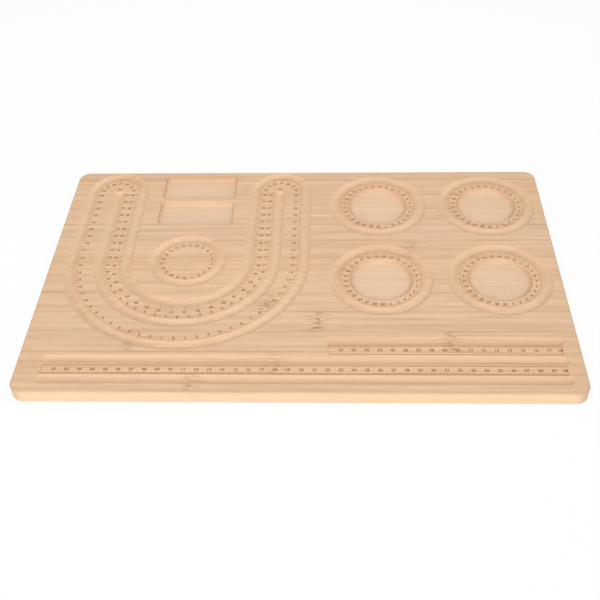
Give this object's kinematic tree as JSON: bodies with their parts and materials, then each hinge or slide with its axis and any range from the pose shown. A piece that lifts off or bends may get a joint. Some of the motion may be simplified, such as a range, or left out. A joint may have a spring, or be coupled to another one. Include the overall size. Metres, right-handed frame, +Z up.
{
  "type": "bead board",
  "caption": "Thin laminated bamboo bead board with carved straight, U-shaped and round bead grooves, pockets and shallow trays, for laying out necklaces and bracelets.",
  "frame": {"origin": "middle of the underside, on the surface that the board lies on", "axes": "+X along the long side, +Y from the edge with the rulers to the edge with the open ends of the U channels, +Z up out of the carved face"},
  "size_m": [0.435, 0.28, 0.012],
  "materials": {
    "carved_bamboo": "satin",
    "base_bamboo": "satin",
    "burnt_marks": "matte"
  },
  "bodies": {
    "root": {"top_stave_01": "carved_bamboo", "top_stave_02": "carved_bamboo", "top_stave_03": "carved_bamboo", "top_stave_04": "carved_bamboo", "top_stave_05": "carved_bamboo", "top_stave_06": "carved_bamboo", "top_stave_07": "carved_bamboo", "top_stave_08": "carved_bamboo", "top_stave_09": "carved_bamboo", "top_stave_10": "carved_bamboo", "top_stave_11": "carved_bamboo", "top_stave_12": "carved_bamboo", "top_stave_13": "carved_bamboo", "base_stave_01": "base_bamboo", "base_stave_02": "base_bamboo", "base_stave_03": "base_bamboo", "base_stave_04": "base_bamboo", "base_stave_05": "base_bamboo", "base_stave_06": "base_bamboo", "base_stave_07": "base_bamboo", "base_stave_08": "base_bamboo", "base_stave_09": "base_bamboo", "base_stave_10": "base_bamboo", "base_stave_11": "base_bamboo", "base_stave_12": "base_bamboo", "base_stave_13": "base_bamboo"}
  },
  "joints": []
}
